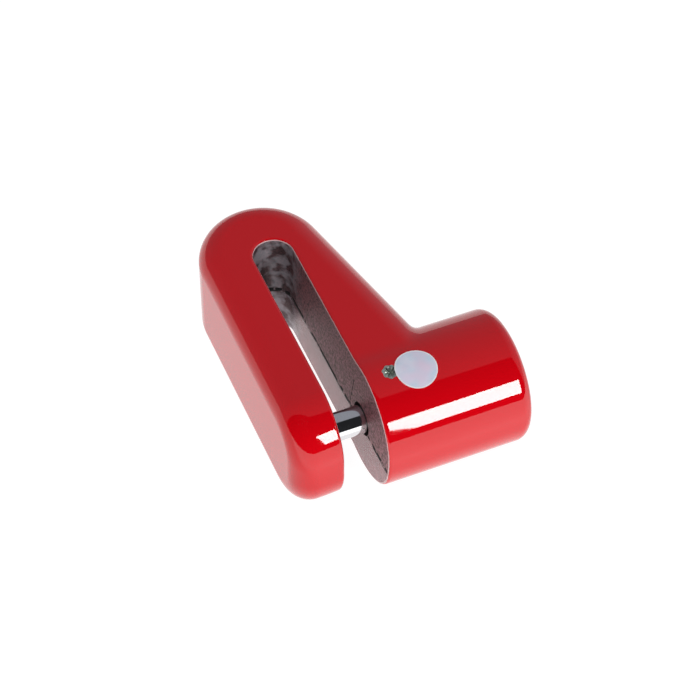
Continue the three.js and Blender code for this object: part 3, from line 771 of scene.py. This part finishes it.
class DISCLOCK_OT_works(bpy.types.Operator):
    """Make smooth-shaded copies of the works inside the lock"""
    bl_idname = "disclock.works"
    bl_label = "Works"

    def execute(self, context):
        # Die-cast zinc, tumbled: soft grey with fine pits.
        zinc = metal("tumbled_die_cast_zinc", ("#7F7D7A", "#A5A3A0"), (0.3, 0.45), 0.4)
        # Turned brass, a little tarnished.
        brass = metal("turned_brass", ("#A57A35", "#C39B55"), (0.2, 0.34), 0.4, (2.5, 0.7, 0.7))
        # Spring temper stainless strip, rolled bright.
        strip = metal("rolled_stainless_strip", ("#A4A6A8", "#C2C4C6"), (0.15, 0.3), 0.3, (1, 1, 0.2))
        wire = metal("drawn_spring_steel", ("#55585D", "#7A7E84"), (0.25, 0.4), 0.3)
        finishes = {"zinc_alloy": zinc, "brass": brass, "stainless": strip, "spring_steel": wire}
        slots = {part["node"]: part["material_slot"] for part in frame["record"]["subparts"]}
        for body, names in frame["record"]["behaviour"]["bodies"].items():
            for name in names:
                node = frame["nodes"][name]
                if node.hide_render:
                    continue
                bm = bmesh.new()
                bm.from_mesh(node.data)
                bmesh.ops.remove_doubles(bm, verts=bm.verts, dist=2e-6)
                bmesh.ops.dissolve_limit(bm, angle_limit=math.radians(0.5), verts=bm.verts, edges=bm.edges)
                soften(bm, 32)
                piece = make_object(f"{name}_finished", bm)
                mount(piece, finishes[slots[name]], body, [name])
        return {"FINISHED"}


class DISCLOCK_OT_stage(bpy.types.Operator):
    """Set up the floor, the lights and the camera"""
    bl_idname = "disclock.stage"
    bl_label = "Stage"

    def execute(self, context):
        settings = context.scene.disc_lock_stage
        bm = bmesh.new()
        bmesh.ops.create_circle(bm, cap_ends=True, segments=64, radius=6)
        floor = make_object("paper_floor", bm)
        # Seamless white paper, lit and glowing evenly, with a painted pool of light in front below the
        # strip softbox, where its glow is much brighter.
        material, tree, mm = new_material("white_paper_painted_light_pool")
        axes = add_node(tree, "ShaderNodeSeparateXYZ", {0: mm})
        glow = ramp(tree, axes.outputs[1], -40, -24, settings.floor_painted_pool, settings.floor)
        shader = add_node(tree, "ShaderNodeBsdfPrincipled", {
            "Base Color": linear("#7C7C7C"), "Roughness": 0.9, "Specular IOR Level": 0.0,
            "Emission Color": (1, 1, 1, 1), "Emission Strength": glow})
        finish_material(tree, shader)
        floor.data.materials.append(material)
        self.lights(settings)
        self.room(settings)
        camera = bpy.data.cameras.new("camera")
        camera.lens, camera.sensor_width = 116.7, 36
        camera.clip_start, camera.clip_end = 0.01, 50
        holder = bpy.data.objects.new("camera", camera)
        context.scene.collection.objects.link(holder)
        turn = Matrix(EYE_AXES).transposed().to_4x4()
        holder.matrix_world = Matrix.Translation(TO_ROW @ EYE) @ turn
        context.scene.camera = holder
        context.scene.view_settings.view_transform = "Standard"
        return {"FINISHED"}

    def lights(self, settings):
        jobs = (("strip", (0.32, -0.87, 0.375), 1.2, 0.15, 0.45, settings.strip, True),
                ("fill", (-0.35, -0.3, 0.9), 1.6, 1.2, 1.2, settings.fill, False))
        for name, direction, far, wide, tall, power, mirrored in jobs:
            data = bpy.data.lights.new(name, "AREA")
            data.shape, data.size, data.size_y = "RECTANGLE", wide, tall
            data.energy = power
            light = bpy.data.objects.new(name, data)
            direction = Vector(direction).normalized()
            light.location = AXIS + direction * far
            light.rotation_mode = "QUATERNION"
            light.rotation_quaternion = direction.to_track_quat("Z", "Y")
            light.visible_glossy = mirrored
            light.visible_camera = False
            bpy.context.scene.collection.objects.link(light)

    def room(self, settings):
        """Pale panels behind and overhead, and an unlit front."""
        world = bpy.data.worlds.new("studio")
        world.use_nodes = True
        tree = world.node_tree
        tree.nodes.clear()
        place = add_node(tree, "ShaderNodeTexCoord")
        side = add_node(tree, "ShaderNodeVectorMath", {0: place.outputs["Generated"],
                                                       1: (0.35, 0.94, 0)}, operation="DOT_PRODUCT")
        axes = add_node(tree, "ShaderNodeSeparateXYZ", {0: place.outputs["Generated"]})
        dome = ramp(tree, axes.outputs[0], 0.25, 0.85, settings.dome, settings.dome * 1.9)
        panel = ramp(tree, side.outputs["Value"], -0.15, -0.11)
        lit = maths(tree, "ADD", maths(tree, "MULTIPLY", panel, dome), settings.front)
        path = add_node(tree, "ShaderNodeLightPath")
        soft = maths(tree, "MULTIPLY_ADD", path.outputs["Is Diffuse Ray"], -0.5, 1.0)
        strength = maths(tree, "MAXIMUM", maths(tree, "MULTIPLY", lit, soft),
                         path.outputs["Is Camera Ray"])
        shade = add_node(tree, "ShaderNodeBackground", {"Color": (0.93, 0.95, 1.06, 1),
                                                        "Strength": strength})
        add_node(tree, "ShaderNodeOutputWorld", {"Surface": shade.outputs[0]})
        bpy.context.scene.world = world


class DISCLOCK_PT_panel(bpy.types.Panel):
    """The lock's pieces and the stage"""
    bl_idname = "DISCLOCK_PT_panel"
    bl_label = "Disc brake lock"
    bl_space_type = "VIEW_3D"
    bl_region_type = "UI"
    bl_category = "Disc lock"

    def draw(self, context):
        for operator in OPERATORS:
            self.layout.operator(operator.bl_idname)
        for group in (context.scene.disc_lock_finish, context.scene.disc_lock_stage):
            for name in group.bl_rna.properties.keys():
                if name not in ("rna_type", "name"):
                    self.layout.prop(group, name)


OPERATORS = (DISCLOCK_OT_body, DISCLOCK_OT_pin, DISCLOCK_OT_springs, DISCLOCK_OT_label,
             DISCLOCK_OT_staked_pin, DISCLOCK_OT_key_end, DISCLOCK_OT_works, DISCLOCK_OT_stage)
CLASSES = (DiscLockFinish, DiscLockStage, *OPERATORS, DISCLOCK_PT_panel)


def register():
    for cls in CLASSES:
        bpy.utils.register_class(cls)
    bpy.types.Scene.disc_lock_finish = bpy.props.PointerProperty(type=DiscLockFinish)
    bpy.types.Scene.disc_lock_stage = bpy.props.PointerProperty(type=DiscLockStage)


def unregister():
    del bpy.types.Scene.disc_lock_stage
    del bpy.types.Scene.disc_lock_finish
    for cls in reversed(CLASSES):
        bpy.utils.unregister_class(cls)


def main():
    register()
    bpy.ops.disclock.body()
    bpy.ops.disclock.pin()
    bpy.ops.disclock.springs()
    bpy.ops.disclock.label()
    bpy.ops.disclock.staked_pin()
    bpy.ops.disclock.key_end()
    bpy.ops.disclock.works()
    bpy.ops.disclock.stage()


if __name__ == "__main__":
    main()
